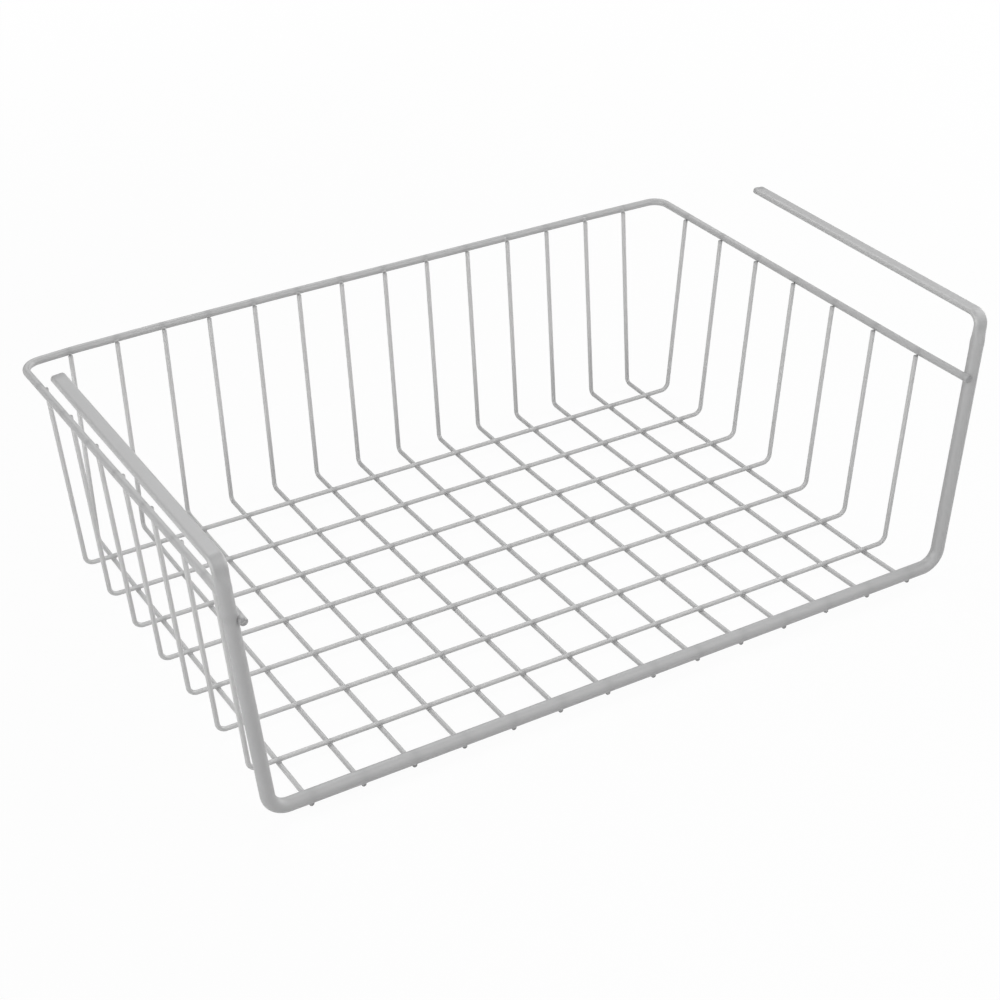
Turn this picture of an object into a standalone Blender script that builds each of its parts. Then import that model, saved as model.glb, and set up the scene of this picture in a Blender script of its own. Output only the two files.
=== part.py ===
"""Under shelf basket: a welded wire basket that hangs from a shelf board by two flat arms.

Lengths are in metres, +Z is up and +Y runs from the open front to the back wall. The origin
is on the table under the middle of the basket. Each piece is one bent wire, and each weld
is left as a narrow gap between two wires.
"""

import bmesh
import bpy
from math import cos, pi, sin, tan
from mathutils import Matrix, Vector

# Overall size, over the arms, over the rim from front to back, and from the mesh to the arms
OVERALL_WIDTH = 0.396
OVERALL_DEPTH = 0.264
OVERALL_HEIGHT = 0.140

# Wire diameters, and the gap that stands for each weld
FRAME_DIAMETER = 0.0064
RIM_DIAMETER = 0.0038
MESH_DIAMETER = 0.0022
WELD_GAP = 0.0003

# Front frame: a low bar, two leaning uprights and two pressed arms
BAR_WIDTH = 0.3622
BAR_BEND_RADIUS = 0.0095
ARM_LENGTH = 0.177
ARM_BEND_RADIUS = 0.007
ARM_WIDTH = 0.0074
ARM_THICKNESS = 0.0034
ARM_EDGE_RADIUS = 0.0016
ARM_TIP_RADIUS = 0.0012
PRESS_RUN_OUT = 0.005

# Rim: its height, its two back corners, and how its ends meet the uprights
RIM_HEIGHT = 0.1072
RIM_BEND_RADIUS = 0.009
RIM_END_OVERHANG = 0.0040
RIM_SET_DOWN = 0.0018

# Mesh: wires along the depth that form the back wall, wires along the width that form the sides
BACK_WIRE_COUNT = 14
BACK_WALL_LEAN = 0.0071
BACK_BEND_RADIUS = 0.003
BACK_WIRE_END_OVERHANG = 0.0005
SIDE_WIRE_COUNT = 7
SIDE_WALL_LEAN = 0.0091
SIDE_BEND_RADIUS = 0.0045
LAST_SIDE_WIRE_INSET = 0.0215
WIRE_TOP_ABOVE_RIM = 0.0004

# Facets: sides of each wire and steps of each bend
FRAME_SIDES = 16
RIM_SIDES = 12
MESH_BEVEL_RESOLUTION = 3
MESH_SIDES = 2 * MESH_BEVEL_RESOLUTION + 4
HEAVY_BEND_STEPS = 8
MESH_BEND_STEPS = 6
TIP_STEPS = 2

# Coats: base colour, roughness and metallic value of each kind of wire
FRAME_COAT = ((0.46, 0.46, 0.46), 0.42, 0.35)
RIM_COAT = ((0.48, 0.48, 0.48), 0.40, 0.35)
BACK_WIRE_COAT = ((0.52, 0.52, 0.52), 0.38, 0.35)
SIDE_WIRE_COAT = ((0.54, 0.54, 0.54), 0.38, 0.35)

# Radii of the wires
FRAME_RADIUS = FRAME_DIAMETER / 2
RIM_RADIUS = RIM_DIAMETER / 2
MESH_RADIUS = MESH_DIAMETER / 2

# The floor wires cross in two layers, and the bar lies on the lower layer
BACK_WIRE_Z = MESH_RADIUS
SIDE_WIRE_Z = BACK_WIRE_Z + MESH_DIAMETER + WELD_GAP
BAR_Z = BACK_WIRE_Z + MESH_RADIUS + WELD_GAP + FRAME_RADIUS

# Corners of the front frame
BAR_Y = RIM_END_OVERHANG - OVERALL_DEPTH / 2
BAR_CORNER_X = BAR_WIDTH / 2
ARM_X = (OVERALL_WIDTH - ARM_WIDTH) / 2
ARM_Z = OVERALL_HEIGHT - ARM_THICKNESS / 2
UPRIGHT_LEAN = (ARM_X - BAR_CORNER_X) / (ARM_Z - BAR_Z)

# The rim lies inside the uprights and is set down into them by its welds
UPRIGHT_X_AT_RIM = BAR_CORNER_X + UPRIGHT_LEAN * (RIM_HEIGHT - BAR_Z)
RIM_X = UPRIGHT_X_AT_RIM - FRAME_RADIUS - WELD_GAP - RIM_RADIUS + RIM_SET_DOWN
RIM_Y = OVERALL_DEPTH / 2 - RIM_RADIUS
RIM_END_Y = BAR_Y - RIM_END_OVERHANG

# The mesh walls stand inside the rim and lean in towards the floor
WALL_INSET = RIM_RADIUS + WELD_GAP + MESH_RADIUS
SIDE_WALL_TOP_X = RIM_X - WALL_INSET
SIDE_WALL_FOOT_X = SIDE_WALL_TOP_X - SIDE_WALL_LEAN
BACK_WALL_TOP_Y = RIM_Y - WALL_INSET
BACK_WALL_FOOT_Y = BACK_WALL_TOP_Y - BACK_WALL_LEAN
BACK_WIRE_PITCH = 2 * SIDE_WALL_FOOT_X / BACK_WIRE_COUNT
SIDE_WIRE_PITCH = (BACK_WALL_FOOT_Y - LAST_SIDE_WIRE_INSET - BAR_Y) / SIDE_WIRE_COUNT


def clear_scene():
    for obj in list(bpy.data.objects):
        bpy.data.objects.remove(obj)


def coat(name, look):
    """A silver grey powder coat, as one Principled material."""
    colour, roughness, metallic = look
    material = bpy.data.materials.new(name)
    material.use_nodes = True
    shader = material.node_tree.nodes["Principled BSDF"]
    shader.inputs["Base Color"].default_value = (*colour, 1)
    shader.inputs["Roughness"].default_value = roughness
    shader.inputs["Metallic"].default_value = metallic
    return material


def place(name, data, location=(0, 0, 0)):
    obj = bpy.data.objects.new(name, data)
    obj.location = location
    bpy.context.scene.collection.objects.link(obj)
    return obj


def arc(before, corner, after, radius, steps):
    """Points of the bend that rounds a corner of a route."""
    arriving = (corner - before).normalized()
    leaving = (after - corner).normalized()
    turn = arriving.angle(leaving)
    start = corner - arriving * radius * tan(turn / 2)
    centre = corner + (leaving - arriving).normalized() * radius / cos(turn / 2)
    axis = arriving.cross(leaving)
    spokes = (Matrix.Rotation(turn * step / steps, 3, axis) for step in range(steps + 1))
    return [centre + spoke @ (start - centre) for spoke in spokes]


def bent_route(corners, radius, steps):
    """A wire's centreline: straight runs with every inner corner rounded alike."""
    route = [corners[0]]
    for before, corner, after in zip(corners, corners[1:], corners[2:]):
        route += arc(before, corner, after, radius, steps)
    return route + [corners[-1]]


def circle_section(radius, sides):
    """A regular outline whose flats touch the circle, with one flat facing down."""
    reach = radius / cos(pi / sides)
    angles = (2 * pi * (side + 0.5) / sides for side in range(sides))
    return [Vector((reach * cos(angle), reach * sin(angle))) for angle in angles]


def pressed_section(width, thickness, edge_radius, sides):
    """A flat bar outline with rounded edges, with as many points as the round one."""
    per_corner = sides // 4
    outline = []
    for corner in range(4):
        across = (width / 2 - edge_radius) * (1, -1, -1, 1)[corner]
        upward = (thickness / 2 - edge_radius) * (1, 1, -1, -1)[corner]
        for point in range(per_corner):
            angle = pi / 2 * (corner + point / (per_corner - 1))
            outline.append(
                Vector((across + edge_radius * cos(angle), upward + edge_radius * sin(angle)))
            )
    return outline


def section_axes(route, across, upward):
    """The section's two axes at each point of a route, carried along without any twist."""
    runs = [(end - start).normalized() for start, end in zip(route, route[1:])]
    inner = [(first + second).normalized() for first, second in zip(runs, runs[1:])]
    tangents = [runs[0], *inner, runs[-1]]
    axes = []
    for last, tangent in zip([runs[0], *tangents], tangents):
        turn = last.rotation_difference(tangent)
        across = turn @ across
        upward = turn @ upward
        axes.append((across, upward))
    return axes


def skin(name, route, sections, across, upward):
    """A closed mesh through one section outline at each point of a route."""
    mesh = bmesh.new()
    rings = []
    for point, outline, axes in zip(route, sections, section_axes(route, across, upward)):
        rings.append([mesh.verts.new(point + axes[0] * uv.x + axes[1] * uv.y) for uv in outline])
    for ring, following in zip(rings, rings[1:]):
        for side in range(len(ring)):
            mesh.faces.new((ring[side - 1], ring[side], following[side], following[side - 1]))
    mesh.faces.new(rings[0])
    mesh.faces.new(rings[-1])
    bmesh.ops.recalc_face_normals(mesh, faces=mesh.faces)
    data = bpy.data.meshes.new(name)
    mesh.to_mesh(data)
    mesh.free()
    data.shade_smooth()
    data.set_sharp_from_angle(angle=pi / 4)
    return data


def frame_stations():
    """Each point of the front frame from the right arm's tip to the left one's.

    With it goes how far the wire is pressed flat there, and how far the tip is rounded in.
    """
    tip = Vector((ARM_X, BAR_Y + ARM_LENGTH, ARM_Z))
    arm_corner = Vector((ARM_X, BAR_Y, ARM_Z))
    bar_corner = Vector((BAR_CORNER_X, BAR_Y, BAR_Z))
    bar_middle = Vector((0, BAR_Y, BAR_Z))
    stations = []
    for step in range(TIP_STEPS + 1):
        angle = pi / 2 * (1 - step / TIP_STEPS)
        inward = Vector((0, -ARM_TIP_RADIUS * (1 - sin(angle)), 0))
        stations.append((tip + inward, 1, ARM_TIP_RADIUS * (1 - cos(angle))))
    arm_bend = arc(tip, arm_corner, bar_corner, ARM_BEND_RADIUS, HEAVY_BEND_STEPS)
    stations += [(point, 1, 0) for point in arm_bend]
    run_out = (bar_corner - arm_corner).normalized() * PRESS_RUN_OUT
    stations.append((arm_bend[-1] + run_out, 0, 0))
    bar_bend = arc(arm_corner, bar_corner, bar_middle, BAR_BEND_RADIUS, HEAVY_BEND_STEPS)
    stations += [(point, 0, 0) for point in bar_bend]
    mirror = Matrix.Diagonal((-1, 1, 1))
    return stations + [(mirror @ point, flat, inset) for point, flat, inset in reversed(stations)]


def frame_skin(name, margin):
    """The front frame's mesh, grown by a margin all round."""
    round_wire = circle_section(FRAME_RADIUS + margin, FRAME_SIDES)
    pressed_wire = pressed_section(
        ARM_WIDTH + 2 * margin, ARM_THICKNESS + 2 * margin, ARM_EDGE_RADIUS + margin, FRAME_SIDES
    )
    stations = frame_stations()
    sections = []
    for _, flat, inset in stations:
        rounding = Vector((1 - 2 * inset / ARM_WIDTH, 1 - 2 * inset / ARM_THICKNESS))
        sections.append(
            [plain.lerp(pressed, flat) * rounding for plain, pressed in zip(round_wire, pressed_wire)]
        )
    route = [point for point, _, _ in stations]
    return skin(name, route, sections, Vector((1, 0, 0)), Vector((0, 0, 1)))


def front_frame():
    """The heavy wire: bar, uprights and arms in one length."""
    data = frame_skin("front_frame", 0)
    data.materials.append(coat("front_frame_coat", FRAME_COAT))
    place("front_frame", data)


def rim_wire():
    """The rim: one wire round the left, back and right sides, let into both uprights."""
    corners = [
        Vector((RIM_X, RIM_END_Y, RIM_HEIGHT)),
        Vector((RIM_X, RIM_Y, RIM_HEIGHT)),
        Vector((-RIM_X, RIM_Y, RIM_HEIGHT)),
        Vector((-RIM_X, RIM_END_Y, RIM_HEIGHT)),
    ]
    route = bent_route(corners, RIM_BEND_RADIUS, HEAVY_BEND_STEPS)
    sections = [circle_section(RIM_RADIUS, RIM_SIDES)] * len(route)
    data = skin("rim_wire", route, sections, Vector((1, 0, 0)), Vector((0, 0, 1)))
    data.materials.append(coat("rim_wire_coat", RIM_COAT))
    rim = place("rim_wire", data)

    seat = place("upright_seat", frame_skin("upright_seat", WELD_GAP))
    seat.hide_render = True
    seat.display_type = "WIRE"
    cut = rim.modifiers.new("Seat on the uprights", "BOOLEAN")
    cut.object = seat


def mesh_wire(name, corners, bend_radius, look):
    """The shared curve of a set of like mesh wires."""
    route = bent_route(corners, bend_radius, MESH_BEND_STEPS)
    curve = bpy.data.curves.new(name, "CURVE")
    curve.dimensions = "3D"
    curve.bevel_depth = MESH_RADIUS / cos(pi / MESH_SIDES)
    curve.bevel_resolution = MESH_BEVEL_RESOLUTION
    curve.use_fill_caps = True
    spline = curve.splines.new("POLY")
    spline.points.add(len(route) - 1)
    for target, point in zip(spline.points, route):
        target.co = (*point, 1)
    spline.use_smooth = True
    curve.materials.append(coat(name + "_coat", look))
    return curve


def wall_top(foot, wall_lean):
    """Where a wall wire ends, on its line from the floor corner past the rim."""
    rise = RIM_HEIGHT - foot.z
    share = (rise + WIRE_TOP_ABOVE_RIM) / rise
    return foot + (wall_lean + Vector((0, 0, rise))) * share


def back_wires():
    """The wires that run from under the bar along the floor and up the back wall."""
    foot = Vector((0, BACK_WALL_FOOT_Y, BACK_WIRE_Z))
    corners = [
        Vector((0, BAR_Y - BACK_WIRE_END_OVERHANG, BACK_WIRE_Z)),
        foot,
        wall_top(foot, Vector((0, BACK_WALL_LEAN, 0))),
    ]
    curve = mesh_wire("back_wire", corners, BACK_BEND_RADIUS, BACK_WIRE_COAT)
    for index in range(BACK_WIRE_COUNT):
        x = BACK_WIRE_PITCH * (index - (BACK_WIRE_COUNT - 1) / 2)
        place(f"back_wire_{index + 1:02d}", curve, (x, 0, 0))


def side_wires():
    """The wires that cross the floor on top of the back wires and rise up both side walls."""
    left_foot = Vector((-SIDE_WALL_FOOT_X, 0, SIDE_WIRE_Z))
    right_foot = Vector((SIDE_WALL_FOOT_X, 0, SIDE_WIRE_Z))
    corners = [
        wall_top(left_foot, Vector((-SIDE_WALL_LEAN, 0, 0))),
        left_foot,
        right_foot,
        wall_top(right_foot, Vector((SIDE_WALL_LEAN, 0, 0))),
    ]
    curve = mesh_wire("side_wire", corners, SIDE_BEND_RADIUS, SIDE_WIRE_COAT)
    for index in range(SIDE_WIRE_COUNT):
        y = BAR_Y + SIDE_WIRE_PITCH * (index + 1)
        place(f"side_wire_{index + 1}", curve, (0, y, 0))


clear_scene()
front_frame()
rim_wire()
back_wires()
side_wires()
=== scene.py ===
"""Under shelf basket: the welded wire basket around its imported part, with its finish and its light.

Lengths are in metres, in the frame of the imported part: +X to the right seen from the open front,
+Y from the open front to the back wall and +Z up. The sections follow the order in which such a
basket is made: the heavy front frame, the rim, the two sets of mesh wires, and then the welds.
"""

from collections import namedtuple
from math import cos, inf, pi, radians, sin, tan

import bmesh
import bpy
import numpy as np
from mathutils import Matrix, Vector


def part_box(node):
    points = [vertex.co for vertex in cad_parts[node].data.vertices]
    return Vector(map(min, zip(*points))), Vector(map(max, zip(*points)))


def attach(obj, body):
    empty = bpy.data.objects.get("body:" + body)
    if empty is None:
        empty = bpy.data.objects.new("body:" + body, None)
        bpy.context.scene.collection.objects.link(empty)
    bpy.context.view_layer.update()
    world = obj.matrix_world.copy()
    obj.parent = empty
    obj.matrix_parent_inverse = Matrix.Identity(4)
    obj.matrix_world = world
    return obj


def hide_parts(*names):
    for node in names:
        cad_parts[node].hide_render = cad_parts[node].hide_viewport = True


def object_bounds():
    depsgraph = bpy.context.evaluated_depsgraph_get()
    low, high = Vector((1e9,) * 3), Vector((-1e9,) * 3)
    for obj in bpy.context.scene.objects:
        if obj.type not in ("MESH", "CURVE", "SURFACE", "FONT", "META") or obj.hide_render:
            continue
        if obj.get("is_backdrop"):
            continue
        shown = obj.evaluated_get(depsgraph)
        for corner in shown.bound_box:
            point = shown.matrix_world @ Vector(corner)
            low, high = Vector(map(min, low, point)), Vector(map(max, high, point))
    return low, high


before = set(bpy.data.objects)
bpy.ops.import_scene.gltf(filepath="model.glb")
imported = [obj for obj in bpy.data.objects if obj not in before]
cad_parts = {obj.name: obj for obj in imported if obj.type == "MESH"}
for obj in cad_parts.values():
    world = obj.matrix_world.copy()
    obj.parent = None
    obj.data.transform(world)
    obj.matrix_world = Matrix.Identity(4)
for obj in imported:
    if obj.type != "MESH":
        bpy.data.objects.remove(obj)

cad_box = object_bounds()


# Front frame. One length of 6.4 mm steel wire, bent cold into a low bar, two uprights that lean
# out, and two arms that lie on the shelf board, pressed flat like their top bends. The welded
# basket is coated with silver grey powder and baked, which makes this wire 6.6 mm thick.
FRAME_RADIUS = 0.0033
FRAME_SIDES = 40
BAR_CORNER_X = 0.1811
BAR_BEND_RADIUS = 0.0095
BAR_SET_DOWN = 0.0007
BEND_STEP = radians(5)
ARM_WIDTH = 0.0072
ARM_THICKNESS = 0.0032
ARM_EDGE_RADIUS = 0.00155
ARM_TIP_CORNER = 0.0013
ARM_TIP_EDGE = 0.0009
PRESS_RUN_OUT = 0.0070
PRESS_SWELL = 0.00012
PRESS_SWELL_LENGTH = 0.002
PRESS_SWELL_SHARE = 1.2
EDGE_FROM_SHARE = 0.3
EDGE_FADE_SHARE = 0.15
OUTLINE_STEPS = 720
LONGEST_RING = 0.006
CLOSEST_RING = 0.00005
TIP_RINGS = 9
RUN_OUT_RINGS = 15
WELD_RINGS = 9
FRAME_WELD_REACH = 0.004
# Painted shade round the frame's welds: how far it spreads, and how dark it is
FRAME_WELD_FADE = 0.0022
FRAME_WELD_SHADE = 0.35
# The coat turns darker over the last 3.2 mm of each arm tip.
FRAME_CUT_FADE = 0.0032

# Bent by hand on a jig, the frame is a little out of true: the radii of its top bends, and how far
# its corners stand off their marks, as x, y and z
ARM_BEND_RADII = {"left": 0.0046, "right": 0.0058}
BAR_CORNER_OFF = {"left": (-0.00065, 0, -0.0001), "right": (-0.00065, 0, 0.0013)}
ARM_BEND_OFF = {"left": (0.0002, 0, -0.0041), "right": (-0.00025, 0, 0.0004)}
ARM_TIP_OFF = {"left": (0.0006, -0.0003, -0.0016), "right": (-0.00025, -0.0020, 0.0018)}

frame_low, frame_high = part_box("front_frame")
ARM_IN_FROM_SIDE = 0.0037
ARM_UNDER_TOP = 0.0017
arm_x = frame_high.x - ARM_IN_FROM_SIDE
arm_z = frame_high.z - ARM_UNDER_TOP
arm_tip_y = frame_high.y
SIDES = ("left", "right")
bar_y = frame_low.y + FRAME_RADIUS
bar_z = frame_low.z + FRAME_RADIUS - BAR_SET_DOWN


def off_true(x, y, z, offs):
    """The two corners of the frame at one mark and its mirror image, with their small errors."""
    marks = {"left": Vector((-x, y, z)), "right": Vector((x, y, z))}
    return {side: marks[side] + Vector(offs[side]) for side in SIDES}


bar_corners = off_true(BAR_CORNER_X, bar_y, bar_z, BAR_CORNER_OFF)
arm_bends = off_true(arm_x, bar_y, arm_z, ARM_BEND_OFF)
arm_tips = off_true(arm_x, arm_tip_y, arm_z, ARM_TIP_OFF)


def bend(before, corner, after, radius):
    """Points of the bend that rounds a corner, about one step apart."""
    arriving = (corner - before).normalized()
    leaving = (after - corner).normalized()
    turn = arriving.angle(leaving)
    start = corner - arriving * radius * tan(turn / 2)
    centre = corner + (leaving - arriving).normalized() * radius / cos(turn / 2)
    axis = arriving.cross(leaving)
    steps = max(1, round(turn / BEND_STEP))
    spokes = (Matrix.Rotation(turn * share / steps, 3, axis) for share in range(steps + 1))
    return [centre + spoke @ (start - centre) for spoke in spokes]


def bent_wire(corners, radii):
    """The middle line of a wire through its corners, each rounded by its own radius."""
    line = [corners[0]]
    for before, corner, after, radius in zip(corners, corners[1:], corners[2:], radii):
        line += bend(before, corner, after, radius)
    return np.array([*line, corners[-1]])


def distances_along(line):
    return np.concatenate([[0], np.cumsum(np.linalg.norm(np.diff(line, axis=0), axis=1))])


def rings_along(line, longest, extra):
    """Where along a wire its rings stand: at each point, at the extras, and never far apart."""
    along = distances_along(line)
    spots = [np.linspace(a, b, int(np.ceil((b - a) / longest)) + 1) for a, b in zip(along, along[1:])]
    spots = np.sort(np.concatenate([*spots, np.asarray(extra)]))
    spots = spots[(spots >= 0) & (spots <= along[-1])]
    return spots[np.concatenate([[True], np.diff(spots) > CLOSEST_RING])]


def points_at(line, spots):
    along = distances_along(line)
    return np.stack([np.interp(spots, along, line[:, axis]) for axis in range(3)], axis=1)


def outline(width, thickness, edge_radius, sides):
    """Points evenly spaced round a bar with rounded edges, anticlockwise from its +x side."""
    angles = np.linspace(0, 2 * pi, OUTLINE_STEPS + 1)
    x = edge_radius * np.cos(angles) + np.sign(np.cos(angles)) * (width / 2 - edge_radius)
    y = edge_radius * np.sin(angles) + np.sign(np.round(np.sin(angles), 9)) * (
        thickness / 2 - edge_radius
    )
    loop = np.stack([x, y], axis=1)
    along = distances_along(loop)
    spots = along[-1] * np.arange(sides) / sides
    return np.stack([np.interp(spots, along, loop[:, axis]) for axis in range(2)], axis=1)


def smooth(share):
    share = np.clip(share, 0, 1)
    return share * share * (3 - 2 * share)


def wire_skin(name, points, outlines, across, masks):
    """A closed mesh through one outline at each point of a wire, carried along without a twist.

    Each mask is a value for every ring, or for every point of every ring, that the finish reads.
    """
    mesh = bmesh.new()
    layers = [mesh.verts.layers.float.new(mask) for mask in masks]
    across_rings = (len(outlines[0]), len(points))
    values = [np.broadcast_to(np.transpose(value), across_rings).T for value in masks.values()]
    runs = np.gradient(points, distances_along(points), axis=0)
    rings = []
    for index, (point, shape) in enumerate(zip(points, outlines)):
        run = Vector(runs[index]).normalized()
        across = (across - run * run.dot(across)).normalized()
        upward = run.cross(across)
        ring = [mesh.verts.new(Vector(point) + across * u + upward * v) for u, v in shape]
        for layer, value in zip(layers, values):
            for vertex, amount in zip(ring, value[index]):
                vertex[layer] = amount
        rings.append(ring)
    for ring, following in zip(rings, rings[1:]):
        for side in range(len(ring)):
            mesh.faces.new((ring[side - 1], ring[side], following[side], following[side - 1]))
    mesh.faces.new(rings[0])
    mesh.faces.new(rings[-1])
    bmesh.ops.recalc_face_normals(mesh, faces=mesh.faces)
    return piece_from(name, mesh)


def piece_from(name, mesh):
    """An object of the basket from a finished mesh. It rides on the only body."""
    data = bpy.data.meshes.new(name)
    mesh.to_mesh(data)
    mesh.free()
    data.shade_smooth()
    piece = bpy.data.objects.new(name, data)
    bpy.context.scene.collection.objects.link(piece)
    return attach(piece, "root")


class Mask:
    """A value in a node tree. Python's operators on it write the Math nodes."""

    def __init__(self, tree, socket=None):
        self.tree = tree
        self.socket = socket

    def node(self, kind, settings, inputs, output=0):
        """Another node of the same tree: its settings first, then its sockets' values or links."""
        node = self.tree.nodes.new("ShaderNode" + kind)
        for name, setting in settings.items():
            setattr(node, name, setting)
        for name, given in inputs.items():
            if isinstance(given, Mask):
                self.tree.links.new(given.socket, node.inputs[name])
            else:
                node.inputs[name].default_value = given
        return Mask(self.tree, node.outputs[output])

    def maths(self, operation, first, second):
        return self.node("Math", {"operation": operation}, {0: first, 1: second})

    def __add__(self, other):
        return self.maths("ADD", self, other)

    def __sub__(self, other):
        return self.maths("SUBTRACT", self, other)

    def __rsub__(self, other):
        return self.maths("SUBTRACT", other, self)

    def __mul__(self, other):
        return self.maths("MULTIPLY", self, other)

    __radd__ = __add__
    __rmul__ = __mul__

    def above(self, start, full):
        """0 up to the start value, 1 from the full one, and smooth in between."""
        ends = {"Value": self, "From Min": start, "From Max": full}
        return self.node("MapRange", {"interpolation_type": "SMOOTHSTEP"}, ends)

    def between(self, colour, other):
        """The colour between two, by this value. Either may be a Mask that already holds one."""
        first, second = (end if isinstance(end, Mask) else (*end, 1) for end in (colour, other))
        return self.node("Mix", {"data_type": "RGBA"}, {0: self, 6: first, 7: second}, 2)

    def feeds(self, socket):
        self.tree.links.new(self.socket, socket)


# The coat's two ends of grey, the steel under it, and how large its clouds, flakes, orange peel,
# grain and chips are
DARK_COAT = (0.30, 0.30, 0.305)
PALE_COAT = (0.70, 0.70, 0.695)
BARE_STEEL = (0.60, 0.59, 0.575)
CLOUD_SIZE = 0.022
FLAKE_SIZE = 0.00025
PEEL_SIZE = 0.0013
PEEL_DEPTH = 0.000016
GRAIN_SIZE = 0.0003
CHIP_SIZE = 0.0009


# Each set of wires gets its own grey, fitted to how bright that set looks under the light: one coat's
# grey with painted light and shade in it.
def silver_coat(name, coat_tone_and_light, painted_floor_shade):
    """Silver grey powder coat: faint clouds, fine flake and orange peel, over bright steel.

    The third value makes it paler towards the rim and darker down at the floor: painted shade, for
    the shadow near the table.
    """
    material = bpy.data.materials.new(name)
    material.use_nodes = True
    tree = material.node_tree
    shader = tree.nodes["Principled BSDF"]
    shader.inputs["Specular IOR Level"].default_value = 0.3
    place = Mask(tree).node("TexCoord", {}, {}, "Object")

    def noise(size, detail=1.0):
        return place.node("TexNoise", {}, {"Vector": place, "Scale": 1 / size, "Detail": detail})

    def wear_and_shade(mask):
        return place.node("Attribute", {"attribute_name": mask}, {}, "Fac")

    clouds = noise(CLOUD_SIZE, 2.0) - 0.5
    cells = {"Vector": place, "Scale": 1 / FLAKE_SIZE}
    flakes = place.node("TexVoronoi", {}, cells, "Color") - 0.5
    peel = noise(PEEL_SIZE)
    grain = noise(GRAIN_SIZE)
    chips = noise(CHIP_SIZE, 3.0).above(0.45, 0.62)
    weld, cut, press = wear_and_shade("weld"), wear_and_shade("cut"), wear_and_shade("press")
    bare = (cut * chips * 0.5 + press * chips * 0.35).above(0.15, 0.95)

    height = place.node("SeparateXYZ", {}, {0: place}, "Z")
    # Painted shade: darker near the table floor, paler up towards the rim.
    brightness = coat_tone_and_light + painted_floor_shade * height.above(0, 0.5 * rim_z) + 0.08 * clouds + 0.08 * flakes
    # Painted shade: the coat is darker round every weld and on the weld beads, in the corners where
    # wires meet.
    brightness = brightness - 0.19 * weld + 0.10 * press - 0.40 * cut
    coat = brightness.between(DARK_COAT, PALE_COAT)
    bare.between(coat, BARE_STEEL).feeds(shader.inputs["Base Color"])
    (0.52 + 0.10 * clouds + 0.06 * flakes + 0.06 * weld - 0.16 * bare).feeds(
        shader.inputs["Roughness"]
    )
    (0.22 + 0.10 * flakes + 0.50 * bare - 0.06 * weld).feeds(shader.inputs["Metallic"])
    skin = peel + 0.22 * grain - 0.5 * bare
    bump = {"Height": skin, "Strength": 0.5, "Distance": PEEL_DEPTH}
    place.node("Bump", {}, bump).feeds(shader.inputs["Normal"])
    return material


def near(spots, places, spread):
    """For each spot, how close it is to one of the places: 1 there, fading to 0."""
    gaps = np.abs(np.asarray(spots)[:, None] - np.asarray(places)[None, :]).min(axis=1)
    return np.exp(-((gaps / spread) ** 2))


BACK_WIRE_COUNT = 14
BACK_WIRES = [f"back_wire_{number:02d}" for number in range(1, BACK_WIRE_COUNT + 1)]
back_wire_x = [(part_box(node)[0].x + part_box(node)[1].x) / 2 for node in BACK_WIRES]
rim_low, rim_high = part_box("rim_wire")
rim_z = (rim_low.z + rim_high.z) / 2

frame_line = bent_wire(
    [
        arm_tips["right"],
        arm_bends["right"],
        bar_corners["right"],
        bar_corners["left"],
        arm_bends["left"],
        arm_tips["left"],
    ],
    [ARM_BEND_RADII["right"], BAR_BEND_RADIUS, BAR_BEND_RADIUS, ARM_BEND_RADII["left"]],
)
frame_length = distances_along(frame_line)[-1]
upright = arm_bends["right"] - bar_corners["right"]
bends_end = {
    side: arm_tips[side].y - bar_y + ARM_BEND_RADII[side] * (pi / 2 - tan(pi / 4)) for side in SIDES
}
rim_joins = {
    side: bends_end[side] + arm_bends[side].z - ARM_BEND_RADII[side] - rim_z for side in SIDES
}
tip_steps = ARM_TIP_CORNER * (1 - np.cos(np.linspace(0, pi / 2, TIP_RINGS)))
run_out_steps = np.linspace(0, PRESS_RUN_OUT * 2, RUN_OUT_RINGS)
right_steps = np.concatenate([tip_steps, bends_end["right"] + run_out_steps])
left_steps = frame_length - np.concatenate([tip_steps, bends_end["left"] + run_out_steps])
bar_welds = [frame_length / 2 - x for x in back_wire_x]
frame_welds = [*bar_welds, rim_joins["right"], frame_length - rim_joins["left"]]
past_weld = np.linspace(-FRAME_WELD_REACH, FRAME_WELD_REACH, WELD_RINGS)
weld_steps = [weld + step for weld in frame_welds for step in past_weld]
frame_steps = np.concatenate([right_steps, left_steps, weld_steps])
frame_spots = rings_along(frame_line, LONGEST_RING, frame_steps)

from_tip = np.minimum(frame_spots, frame_length - frame_spots)
past_bend = np.minimum(
    frame_spots - bends_end["right"], frame_length - frame_spots - bends_end["left"]
)
pressed = 1 - smooth(past_bend / PRESS_RUN_OUT)
past_press = past_bend - PRESS_RUN_OUT * PRESS_SWELL_SHARE
swell = 1 + PRESS_SWELL / FRAME_RADIUS * np.exp(-((past_press / PRESS_SWELL_LENGTH) ** 2))
tip_share = np.clip(from_tip / ARM_TIP_CORNER, 0, 1)
edge_share = np.clip(from_tip / ARM_TIP_EDGE, 0, 1)
tip_width = 1 - 2 * ARM_TIP_CORNER / ARM_WIDTH * (1 - np.sqrt(1 - (1 - tip_share) ** 2))
tip_depth = 1 - 2 * ARM_TIP_EDGE / ARM_THICKNESS * (1 - np.sqrt(1 - (1 - edge_share) ** 2))
round_wire = outline(2 * FRAME_RADIUS, 2 * FRAME_RADIUS, FRAME_RADIUS, FRAME_SIDES)
pressed_wire = outline(ARM_WIDTH, ARM_THICKNESS, ARM_EDGE_RADIUS, FRAME_SIDES)
frame_outlines = [
    (round_wire * (1 - flat) * grown + pressed_wire * flat) * (wide, deep)
    for flat, grown, wide, deep in zip(pressed, swell, tip_width, tip_depth)
]
past_face = np.abs(pressed_wire[:, 0]) - ARM_WIDTH * EDGE_FROM_SHARE
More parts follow.
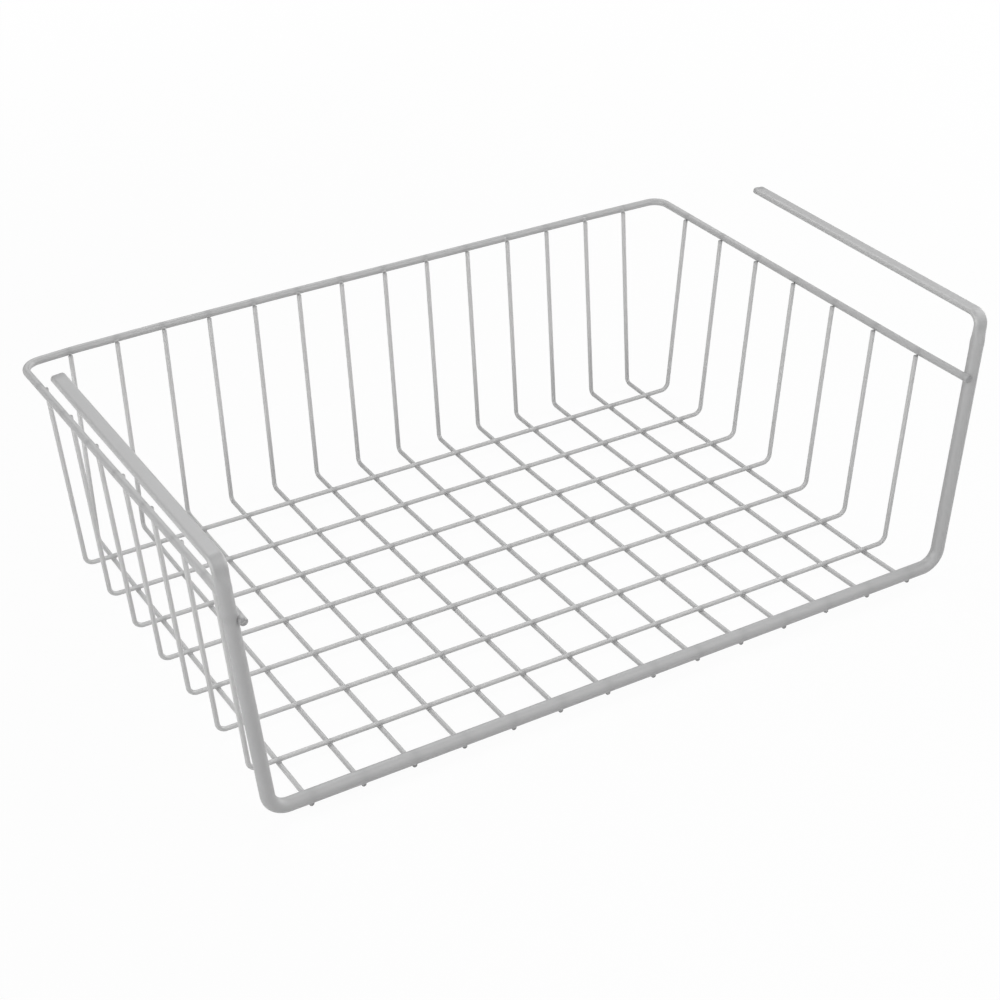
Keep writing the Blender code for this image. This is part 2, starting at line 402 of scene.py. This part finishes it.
on_edge = smooth(past_face / (ARM_WIDTH * EDGE_FADE_SHARE))
front_frame = wire_skin(
    "front_frame_coated",
    points_at(frame_line, frame_spots),
    frame_outlines,
    Vector((upright.z, 0, -upright.x)),
    {
        "cut": smooth(1 - from_tip / FRAME_CUT_FADE),
        "press": pressed[:, None] * on_edge[None, :],
        "weld": near(frame_spots, frame_welds, FRAME_WELD_FADE) * FRAME_WELD_SHADE,
    },
)
# A grey fitted to how bright the frame looks: painted light and shade.
front_frame.data.materials.append(silver_coat("front_frame_powder_coat", coat_tone_and_light=0.38, painted_floor_shade=0.0))
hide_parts("front_frame")


# Rim. One 3.8 mm wire that runs along the left side, round two corners and across the back to the
# right side. Its front ends are welded to the inner sides of the uprights and stick out just past
# them. Like every cut end here they are sheared off, and the coat rounds their edges.
RIM_SIDES = 28
RIM_BEND_RADII = {"left": 0.0104, "right": 0.0080}
RIM_BOW_RADIUS = 0.100
# Painted shade round the rim's welds: how far it spreads, and how dark it is
RIM_WELD_FADE = 0.0018
RIM_WELD_SHADE = 0.7
RIM_CUT_FADE = 0.0011
CUT_EDGE = 0.00055
CUT_RINGS = 6
WELD_REACH = 0.0032
JOINT_SEARCH_STEPS = 6000

# The rim is out of true as well: how far its back run stands forward, from its left corner to its
# right one, and how far its front ends stand off their marks
RIM_BACK_X = [-0.1876, -0.160, -0.115, -0.045, 0.055, 0.140, 0.1871]
RIM_BACK_OFF = [-0.0049, -0.0024, -0.0010, -0.00025, -0.0008, -0.00115, -0.0023]
RIM_TIP_OFF = {"left": (0, -0.0010, -0.0014), "right": (0, 0.0010, 0.0005)}

rim_radius = (rim_high.z - rim_low.z) / 2
rim_x = rim_high.x - rim_radius
rim_y = rim_high.y - rim_radius
SIDE_WIRE_COUNT = 7
SIDE_WIRES = [f"side_wire_{number}" for number in range(1, SIDE_WIRE_COUNT + 1)]
side_wire_y = [(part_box(node)[0].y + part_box(node)[1].y) / 2 for node in SIDE_WIRES]


def cut_ends(from_end, radius):
    """How much narrower each ring is towards a cut end, whose edge the coat has rounded."""
    share = np.clip(from_end / CUT_EDGE, 0, 1)
    return 1 - CUT_EDGE / radius * (1 - np.sqrt(1 - (1 - share) ** 2))


def cut_steps(length):
    steps = CUT_EDGE * (1 - np.cos(np.linspace(0, pi / 2, CUT_RINGS)))
    return np.concatenate([steps, length - steps])


def weld_rings(places):
    steps = np.linspace(-WELD_REACH, WELD_REACH, WELD_RINGS)
    return [place + step for place in places for step in steps]


def places_on(line, joints):
    """How far along a wire it comes nearest to each of its joints."""
    dense = np.linspace(0, distances_along(line)[-1], JOINT_SEARCH_STEPS)
    points = points_at(line, dense)
    return [dense[np.linalg.norm(points - np.array(at), axis=1).argmin()] for at in joints]


def rim_back(x):
    """The middle of the rim's back run at one place along it."""
    return Vector((x, rim_y + np.interp(x, RIM_BACK_X, RIM_BACK_OFF), rim_z))


rim_tips = off_true(rim_x, rim_low.y, rim_z, RIM_TIP_OFF)
rim_knees = {side: Vector((rim_tips[side].x, side_wire_y[0], rim_z)) for side in SIDES}
rim_bow = [rim_back(x) for x in RIM_BACK_X]
rim_line = bent_wire(
    [
        rim_tips["left"],
        rim_knees["left"],
        *rim_bow,
        rim_knees["right"],
        rim_tips["right"],
    ],
    [
        RIM_BOW_RADIUS,
        RIM_BEND_RADII["left"],
        *[RIM_BOW_RADIUS] * (len(rim_bow) - 2),
        RIM_BEND_RADII["right"],
        RIM_BOW_RADIUS,
    ],
)
rim_length = distances_along(rim_line)[-1]
rim_joints = [Vector((sign * rim_x, y, rim_z)) for sign in (-1, 1) for y in (bar_y, *side_wire_y)]
rim_joints += [rim_back(x) for x in back_wire_x]
rim_welds = places_on(rim_line, rim_joints)
rim_steps = np.concatenate([cut_steps(rim_length), weld_rings(rim_welds)])
rim_spots = rings_along(rim_line, LONGEST_RING, rim_steps)
from_end = np.minimum(rim_spots, rim_length - rim_spots)
rim_round = outline(2 * rim_radius, 2 * rim_radius, rim_radius, RIM_SIDES)
rim = wire_skin(
    "rim_wire_coated",
    points_at(rim_line, rim_spots),
    [rim_round * share for share in cut_ends(from_end, rim_radius)],
    Vector((0, 0, 1)),
    {
        "cut": smooth(1 - from_end / RIM_CUT_FADE),
        "press": 0,
        "weld": near(rim_spots, rim_welds, RIM_WELD_FADE) * RIM_WELD_SHADE,
    },
)
# A grey fitted to how bright the rim looks: painted light and shade.
rim.data.materials.append(silver_coat("rim_powder_coat", coat_tone_and_light=0.435, painted_floor_shade=0.0))
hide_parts("rim_wire")


# Back wires. Fourteen 2.2 mm wires that start under the bar, lie on the table, and rise inside the
# rim as the back wall, pressed into it. Pressing the wall up has lifted the end of the floor a
# little, and the bar has lifted their front ends on the right. No two of them stand quite alike.
MESH_SIDES = 18
MESH_LONGEST_RING = 0.007
# Painted shade round the mesh wires' welds: how far it spreads, and how dark it is
MESH_WELD_FADE = 0.0016
MESH_WELD_SHADE = 0.8
MESH_CUT_FADE = 0.0009
BACK_BEND_RADIUS = 0.003
BACK_FOOT_Y = 0.1197
BACK_TOP_Y = 0.1268
FLOOR_KNEE_Y = 0.066
FLOOR_KNEE_SHARE = 0.8
FOOT_LIFT = 0.0013
FIT_UP = 0.00014
FIT_UP_SEED = 22
FRONT_STICK_OUT = 0.0006
RIM_SET_IN = 0.0007
TOP_SET_DOWN = 0.0015

# The last ones on the right lean in: where that starts, and how far the very last one is off its
# mark at the foot and at the rim
LEANING_FROM = -5
LAST_FOOT_IN = 0.0005
LAST_TOP_IN = 0.0010

back_low, back_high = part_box(BACK_WIRES[0])
mesh_radius = (back_high.x - back_low.x) / 2
back_z = back_low.z + mesh_radius
front_knee_y = min(side_wire_y)
chance = np.random.default_rng(FIT_UP_SEED)
mesh_round = outline(2 * mesh_radius, 2 * mesh_radius, mesh_radius, MESH_SIDES)
# A grey fitted to how bright the back wires look: painted light and shade.
mesh_coat = silver_coat("back_wire_powder_coat", coat_tone_and_light=0.51, painted_floor_shade=0.28)


def off_mark(count):
    """Small errors of fit-up, never more than twice the usual one."""
    return np.clip(chance.normal(0, FIT_UP, count), -2 * FIT_UP, 2 * FIT_UP)


def floor_lift(y):
    """How far the floor stands up behind its knee, where the back wall was pressed up."""
    return FOOT_LIFT * max(0, y - FLOOR_KNEE_Y) / (BACK_FOOT_Y - FLOOR_KNEE_Y)


def bar_middle(x):
    """The middle line of the bar, which is not quite level."""
    left, right = bar_corners["left"], bar_corners["right"]
    return left.lerp(right, (x - left.x) / (right.x - left.x))


def wall_end(foot, at_rim, top_z):
    """Where a wall wire ends, on its line from its foot past the rim."""
    return foot + (at_rim - foot) * (top_z - foot.z) / (at_rim.z - foot.z)


def mesh_wire(node, corners, bend_radius, across, crossings, material):
    """One coated mesh wire through its corners. The crossings are points where it is welded."""
    line = bent_wire(corners, [bend_radius] * (len(corners) - 2))
    length = distances_along(line)[-1]
    welds = places_on(line, crossings)
    extra = np.concatenate([cut_steps(length), weld_rings(welds)])
    spots = rings_along(line, MESH_LONGEST_RING, extra)
    from_end = np.minimum(spots, length - spots)
    wire = wire_skin(
        node + "_coated",
        points_at(line, spots),
        [mesh_round * share for share in cut_ends(from_end, mesh_radius)],
        across,
        {
            "cut": smooth(1 - from_end / MESH_CUT_FADE),
            "press": 0,
            "weld": near(spots, welds, MESH_WELD_FADE) * MESH_WELD_SHADE,
        },
    )
    wire.data.materials.append(material)
    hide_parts(node)


back_ends = []
front_offs, foot_offs, top_offs = (off_mark(BACK_WIRE_COUNT) for _ in range(3))
plumb_x, last_x = back_wire_x[LEANING_FROM], back_wire_x[-1]
for node, x, front_off, foot_off, top_off in zip(
    BACK_WIRES, back_wire_x, front_offs, foot_offs, top_offs
):
    low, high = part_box(node)
    lean = smooth((x - plumb_x) / (last_x - plumb_x))
    foot_off -= LAST_FOOT_IN * lean
    top_off += (LAST_FOOT_IN - LAST_TOP_IN) * lean
    start = Vector((x + front_off, low.y - FRONT_STICK_OUT, back_z + bar_middle(x).z - bar_z))
    foot = Vector((x + foot_off, BACK_FOOT_Y, back_z + FOOT_LIFT))
    rim_in = RIM_SET_IN + rim_back(x).y - rim_y
    at_rim = Vector((x + foot_off + top_off, BACK_TOP_Y + rim_in, rim_z))
    back_ends.append((start, foot, at_rim, high.z - TOP_SET_DOWN))


# Side wires. Seven 2.2 mm wires that come down inside the rim on the left, cross the floor on top
# of the back wires, and go up again on the right. Both sets are welded where they cross, so they
# are skinned together once every crossing is known.
SIDE_BEND_RADIUS = 0.0045
SIDE_SET_DOWN = 0.00045
SIDE_FOOT_X = 0.17517
SIDE_TOP_X = 0.18427
LEFT_WALL_OUT = 0.0017
RIGHT_WALL_OUT = 0.0001

side_low, side_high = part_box(SIDE_WIRES[0])
side_z = side_low.z + mesh_radius - SIDE_SET_DOWN
side_ends = []
side_offs = [off_mark(SIDE_WIRE_COUNT) for _ in range(4)]
for node, y, left_off, right_off, left_top, right_top in zip(SIDE_WIRES, side_wire_y, *side_offs):
    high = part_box(node)[1]
    foot_z = side_z + floor_lift(y)
    left_foot = Vector((-SIDE_FOOT_X - LEFT_WALL_OUT, y + left_off, foot_z))
    right_foot = Vector((SIDE_FOOT_X + RIGHT_WALL_OUT, y + right_off, foot_z))
    left_rim = Vector((-SIDE_TOP_X - RIM_SET_IN, y + left_off + left_top, rim_z))
    right_rim = Vector((SIDE_TOP_X + RIM_SET_IN, y + right_off + right_top, rim_z))
    side_ends.append((left_foot, right_foot, left_rim, right_rim, high.z - TOP_SET_DOWN))


def floor_crossing(back, side):
    """The middles of a back wire and a side wire where they cross on the floor."""
    start, foot = back[:2]
    left, right = side[:2]
    x = start.x
    for _ in range(3):
        y = left.y + (right.y - left.y) * (x - left.x) / (right.x - left.x)
        x = start.x + (foot.x - start.x) * (y - start.y) / (foot.y - start.y)
    return Vector((x, y, back_z + floor_lift(y))), Vector((x, y, left.z))


floor_welds = [[floor_crossing(back, side) for side in side_ends] for back in back_ends]
for node, (start, foot, at_rim, top_z), crossings in zip(BACK_WIRES, back_ends, floor_welds):
    mesh_wire(
        node,
        [
            start,
            Vector((start.x, front_knee_y, back_z)),
            Vector((start.lerp(foot, FLOOR_KNEE_SHARE).x, FLOOR_KNEE_Y, back_z)),
            foot,
            wall_end(foot, at_rim, top_z),
        ],
        BACK_BEND_RADIUS,
        Vector((1, 0, 0)),
        [Vector((start.x, bar_y, start.z)), *(lower for lower, _ in crossings), at_rim],
        mesh_coat,
    )

# A grey fitted to how bright the side wires look: painted light and shade.
side_coat = silver_coat("side_wire_powder_coat", coat_tone_and_light=0.62, painted_floor_shade=0.10)
for index, (node, ends) in enumerate(zip(SIDE_WIRES, side_ends)):
    left_foot, right_foot, left_rim, right_rim, top_z = ends
    mesh_wire(
        node,
        [
            wall_end(left_foot, left_rim, top_z),
            left_foot,
            right_foot,
            wall_end(right_foot, right_rim, top_z),
        ],
        SIDE_BEND_RADIUS,
        Vector((0, 1, 0)),
        [left_rim, *(column[index][1] for column in floor_welds), right_rim],
        side_coat,
    )


# Welds. Where two wires cross they are pressed together and fused by a pulse of current. A little
# metal is squeezed out into the corner between them, and the coat runs over it as a soft fillet.
# The beads, and the wires round them, are painted darker as shade in those corners.
WELD_COLUMNS = 24
WELD_RISES = [-90, -62, -44, -31, -21, -13, -6, 0, 6, 13, 21, 31, 44, 62, 90]
FUSION = 0.00030
HIDE_EDGE = 0.00002
FUSION_LEAST = 0.8
FUSION_MOST = 1.25
BEAD_LEAN = 0.06
BEAD_LEAN_SHARE = 0.3
# How dark the painted shade on every weld bead is
BEAD_SHADE = 0.55
BEAD_REACH = 0.0015
UPRIGHT_BEAD_REACH = 0.0026
SEARCH_FROM_SHARE = 0.05
SEARCH_STEPS = 60

# A wire near a weld: where its middle is there, its direction, its radius, and how far ahead its
# cut end is
WireAt = namedtuple("WireAt", "middle run radius to_end")


def gap_to(wire, points):
    """The distance from points to the skin of a wire, which may have a cut end."""
    run = np.array(wire.run)
    offset = points - np.array(wire.middle)
    along = offset @ run
    outside = np.linalg.norm(offset - along[..., None] * run, axis=-1) - wire.radius
    past = along - wire.to_end
    corner = np.hypot(np.maximum(outside, 0), np.maximum(past, 0))
    return corner + np.minimum(np.maximum(outside, past), 0)


def add_bead(mesh, layer, wire, other, reach):
    """A weld bead: the skin that joins two wires softly, followed outwards from between them."""
    normal = (other.middle - wire.middle).normalized()
    middle = (wire.middle + normal * wire.radius + other.middle - normal * other.radius) / 2
    across = wire.run.orthogonal().cross(normal).normalized()
    upward = normal.cross(across)
    fusion = FUSION * chance.uniform(FUSION_LEAST, FUSION_MOST)
    lean = chance.normal(0, BEAD_LEAN, 3)
    radii = np.linspace(SEARCH_FROM_SHARE, 1, SEARCH_STEPS) * reach
    rows = []
    for rise in WELD_RISES:
        count = 1 if abs(rise) == 90 else WELD_COLUMNS
        row = []
        for column in range(count):
            angle = 2 * pi * column / WELD_COLUMNS
            out = across * cos(angle) + upward * sin(angle)
            ray = out * cos(radians(rise)) + normal * sin(radians(rise))
            points = np.array(middle) + radii[:, None] * np.array(ray)
            skin = -fusion * np.logaddexp(
                -gap_to(wire, points) / fusion, -gap_to(other, points) / fusion
            )
            clear = np.flatnonzero(skin + HIDE_EDGE > 0)
            stop = clear[0] if len(clear) else len(radii) - 1
            if stop and len(clear):
                before, after = skin[stop - 1] + HIDE_EDGE, skin[stop] + HIDE_EDGE
                length = radii[stop - 1] + (radii[stop] - radii[stop - 1]) * before / (before - after)
            else:
                length = radii[stop]
            length *= 1 + float(np.array(ray) @ lean) * BEAD_LEAN_SHARE
            vertex = mesh.verts.new(middle + ray * length)
            vertex[layer] = BEAD_SHADE
            row.append(vertex)
        rows.append(row)
    for row, following in zip(rows, rows[1:]):
        for column in range(WELD_COLUMNS):
            corners = [row[column % len(row)], row[(column + 1) % len(row)]]
            corners += [following[(column + 1) % len(following)], following[column % len(following)]]
            mesh.faces.new(list(dict.fromkeys(corners)))


def weld_group(name, pairs, reach, material):
    """One piece for all the beads of a row of welds, so that they can be finished together."""
    mesh = bmesh.new()
    layer = mesh.verts.layers.float.new("weld")
    for wire, other in pairs:
        add_bead(mesh, layer, wire, other, reach)
    bmesh.ops.recalc_face_normals(mesh, faces=mesh.faces)
    welds = piece_from(name, mesh)
    welds.data.materials.append(material)


floor_pairs = []
bar_pairs = []
back_rim_pairs = []
for (start, foot, at_rim, top_z), crossings in zip(back_ends, floor_welds):
    run = Vector((start.x - foot.x, start.y - foot.y, 0)).normalized()
    for (lower, upper), (left, right, *_) in zip(crossings, side_ends):
        across = (right - left).normalized()
        floor_pairs.append(
            (WireAt(lower, run, mesh_radius, inf), WireAt(upper, across, mesh_radius, inf))
        )
    under_bar = Vector((start.x, bar_y, start.z))
    to_end = abs(start.y - bar_y)
    bar_pairs.append(
        (
            WireAt(under_bar, run, mesh_radius, to_end),
            WireAt(bar_middle(start.x), Vector((1, 0, 0)), FRAME_RADIUS, inf),
        )
    )
    rise = (at_rim - foot).normalized()
    above_rim = (top_z - rim_z) / rise.z
    rim_run = (rim_back(at_rim.x + mesh_radius) - rim_back(at_rim.x - mesh_radius)).normalized()
    back_rim_pairs.append(
        (
            WireAt(at_rim, rise, mesh_radius, above_rim),
            WireAt(rim_back(at_rim.x), rim_run, rim_radius, inf),
        )
    )

side_rim_pairs = []
for left_foot, right_foot, left_rim, right_rim, top_z in side_ends:
    for foot, at_rim, sign in ((left_foot, left_rim, -1), (right_foot, right_rim, 1)):
        rise = (at_rim - foot).normalized()
        above_rim = (top_z - rim_z) / rise.z
        side_rim_pairs.append(
            (
                WireAt(at_rim, rise, mesh_radius, above_rim),
                WireAt(Vector((sign * rim_x, at_rim.y, rim_z)), Vector((0, 1, 0)), rim_radius, inf),
            )
        )

upright_pairs = []
for side in SIDES:
    foot, top = bar_corners[side], arm_bends[side]
    tip, knee = rim_tips[side], rim_knees[side]
    beside = tip.lerp(knee, (bar_y - tip.y) / (knee.y - tip.y))
    at_rim = foot.lerp(top, (beside.z - foot.z) / (top.z - foot.z))
    upright_pairs.append(
        (
            WireAt(beside, (tip - knee).normalized(), rim_radius, (beside - tip).length),
            WireAt(at_rim, (top - foot).normalized(), FRAME_RADIUS, inf),
        )
    )

weld_group("floor_welds", floor_pairs, BEAD_REACH, mesh_coat)
weld_group("bar_welds", bar_pairs, BEAD_REACH, mesh_coat)
weld_group("back_rim_welds", back_rim_pairs, BEAD_REACH, mesh_coat)
weld_group("side_rim_welds", side_rim_pairs, BEAD_REACH, side_coat)
weld_group("upright_welds", upright_pairs, UPRIGHT_BEAD_REACH, rim.data.materials[0])


# Table. A wide white sheet that the basket stands on. The camera and reflections see it lit through,
# as white as the room. Near the basket a little of its own shading is left, for the shadow, and
# that fades out before the table's edge.
TABLE_SIZE = 3.0
TABLE_UNDER = 0.0001
LIT_THROUGH = 0.95
SHADOW_ENDS = 0.3
TABLE_FADES = 1.2
SHEET_WHITE = (0.90, 0.90, 0.90, 1)
GLOW_WHITE = (1, 1, 1, 1)

sheet = bmesh.new()
bmesh.ops.create_grid(sheet, x_segments=2, y_segments=2, size=TABLE_SIZE)
sheet_data = bpy.data.meshes.new("table")
sheet.to_mesh(sheet_data)
sheet.free()
table = bpy.data.objects.new("table", sheet_data)
table.location.z = -TABLE_UNDER
bpy.context.scene.collection.objects.link(table)
table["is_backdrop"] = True


def seen_rays(tree):
    """1 for the rays that make the picture, and for what shiny or clear things show in it."""
    kinds = ("Is Camera Ray", "Is Glossy Ray", "Is Transmission Ray")
    camera, glossy, through = (tree.node("LightPath", {}, {}, kind) for kind in kinds)
    return camera + glossy + through


white = bpy.data.materials.new("white_sheet")
white.use_nodes = True
white_tree = white.node_tree
white_tree.nodes.remove(white_tree.nodes["Principled BSDF"])
ray = Mask(white_tree)
seen = seen_rays(ray)
spot = ray.node("TexCoord", {}, {}, "Object")
away = ray.node("VectorMath", {"operation": "LENGTH"}, {0: spot}, "Value")
far = away.above(SHADOW_ENDS, TABLE_FADES)
matt = ray.node("BsdfDiffuse", {}, {"Color": SHEET_WHITE})
glow = ray.node("Emission", {}, {"Color": GLOW_WHITE, "Strength": 1.0})
share = seen * (LIT_THROUGH + (1 - LIT_THROUGH) * far)
ray.node("MixShader", {}, {0: share, 1: matt, 2: glow}).feeds(
    white_tree.nodes["Material Output"].inputs["Surface"]
)
sheet_data.materials.append(white)


# Light. A white studio tent, which the camera and reflections see as plain white, and soft boxes
# round it: the strongest above the back and on the right, weaker ones on the left and in front.
BASKET_MIDDLE = Vector((0, 0, 0.05))

world = bpy.data.worlds.new("studio_tent")
bpy.context.scene.world = world
world.use_nodes = True
tent = Mask(world.node_tree)
seen = seen_rays(tent).above(0, 1)
seen.feeds(world.node_tree.nodes["Background"].inputs["Strength"])
world.node_tree.nodes["Background"].inputs["Color"].default_value = GLOW_WHITE


def soft_box(name, place, size, watts):
    """A square lamp that faces the basket."""
    lamp = bpy.data.lights.new(name, "AREA")
    lamp.size = size
    lamp.energy = watts
    box = bpy.data.objects.new(name, lamp)
    box.location = place
    box.rotation_euler = (BASKET_MIDDLE - Vector(place)).to_track_quat("-Z", "Y").to_euler()
    bpy.context.scene.collection.objects.link(box)


soft_box("soft_box_back", (0.25, 0.9, 1.3), size=1.0, watts=8.6)
soft_box("soft_box_right", (1.3, 0.1, 0.5), size=0.7, watts=8.2)
soft_box("soft_box_left", (-1.3, 0.2, 0.6), size=0.8, watts=6.3)
soft_box("soft_box_low_left", (-1.1, -0.5, 0.15), size=0.5, watts=3.9)
soft_box("soft_box_front", (0.55, -0.65, 0.75), size=0.8, watts=3.0)
soft_box("soft_box_near", (-0.05, -0.45, 0.55), size=0.5, watts=0.9)
soft_box("soft_box_low", (0.3, -1.2, 0.15), size=0.5, watts=1.1)


# Camera. It stands to the left in front of the basket, looks down on it, and is tilted a little
# to one side, as the photograph shows.
CAMERA_PLACE = (-0.4473, -0.7870, 0.57635)
CAMERA_TURN = radians(-29.98)
CAMERA_PITCH = radians(90 - 30.8815)
CAMERA_ROLL = radians(-1.09)
FOCAL_LENGTH_MM = 76.52
SENSOR_WIDTH_MM = 36

camera_data = bpy.data.cameras.new("camera")
camera_data.sensor_width = SENSOR_WIDTH_MM
camera_data.lens = FOCAL_LENGTH_MM
camera = bpy.data.objects.new("camera", camera_data)
camera.matrix_world = (
    Matrix.Translation(CAMERA_PLACE)
    @ Matrix.Rotation(CAMERA_TURN, 4, "Z")
    @ Matrix.Rotation(CAMERA_PITCH, 4, "X")
    @ Matrix.Rotation(CAMERA_ROLL, 4, "Z")
)
bpy.context.scene.collection.objects.link(camera)
bpy.context.scene.camera = camera
bpy.context.scene.view_settings.view_transform = "Standard"

visual_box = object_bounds()
boxes = {"cad": cad_box, "visual": visual_box}
boxes = {name: [[float(v) for v in corner] for corner in box] for name, box in boxes.items()}
